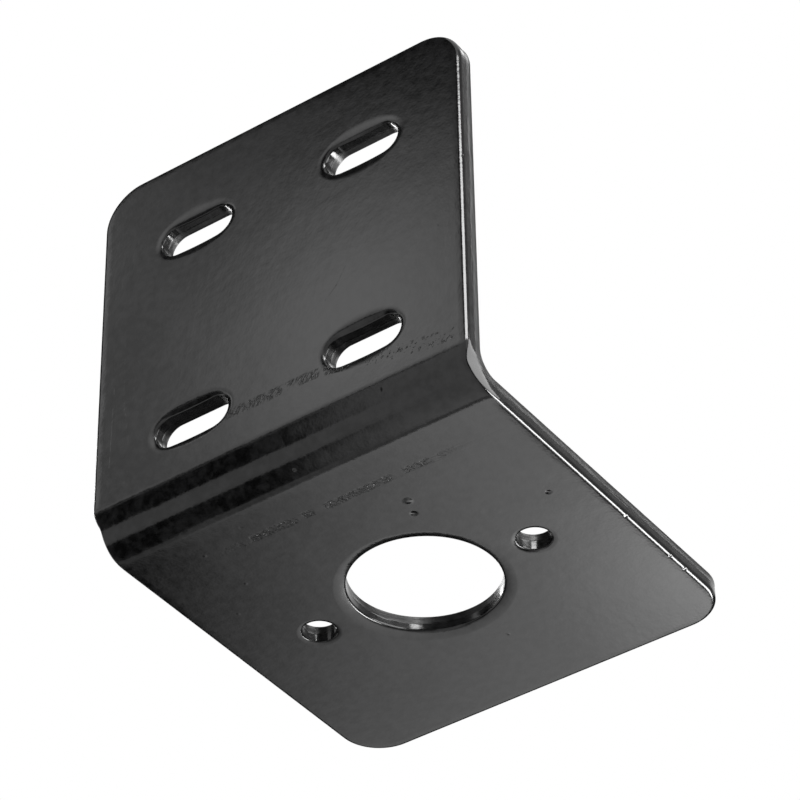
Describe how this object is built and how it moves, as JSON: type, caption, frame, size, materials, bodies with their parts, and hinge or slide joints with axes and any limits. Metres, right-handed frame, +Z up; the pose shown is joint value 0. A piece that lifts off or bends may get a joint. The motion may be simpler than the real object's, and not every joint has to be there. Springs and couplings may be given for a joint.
{
  "type": "motor mounting bracket",
  "caption": "L-shaped bracket folded from black painted sheet, with a bored flange for a small motor and a slotted flange for its base.",
  "frame": {"origin": "where the motor's axis meets the outer face of the motor flange, the face it stands on", "axes": "+Z up along the motor's axis, from the motor flange into the space for the motor; -Y out of the slotted flange's base face; X along the fold"},
  "size_m": [0.05, 0.0517, 0.0506],
  "materials": {
    "black_paint": "semi-gloss"
  },
  "bodies": {
    "root": {"bracket": "black_paint"}
  },
  "joints": []
}
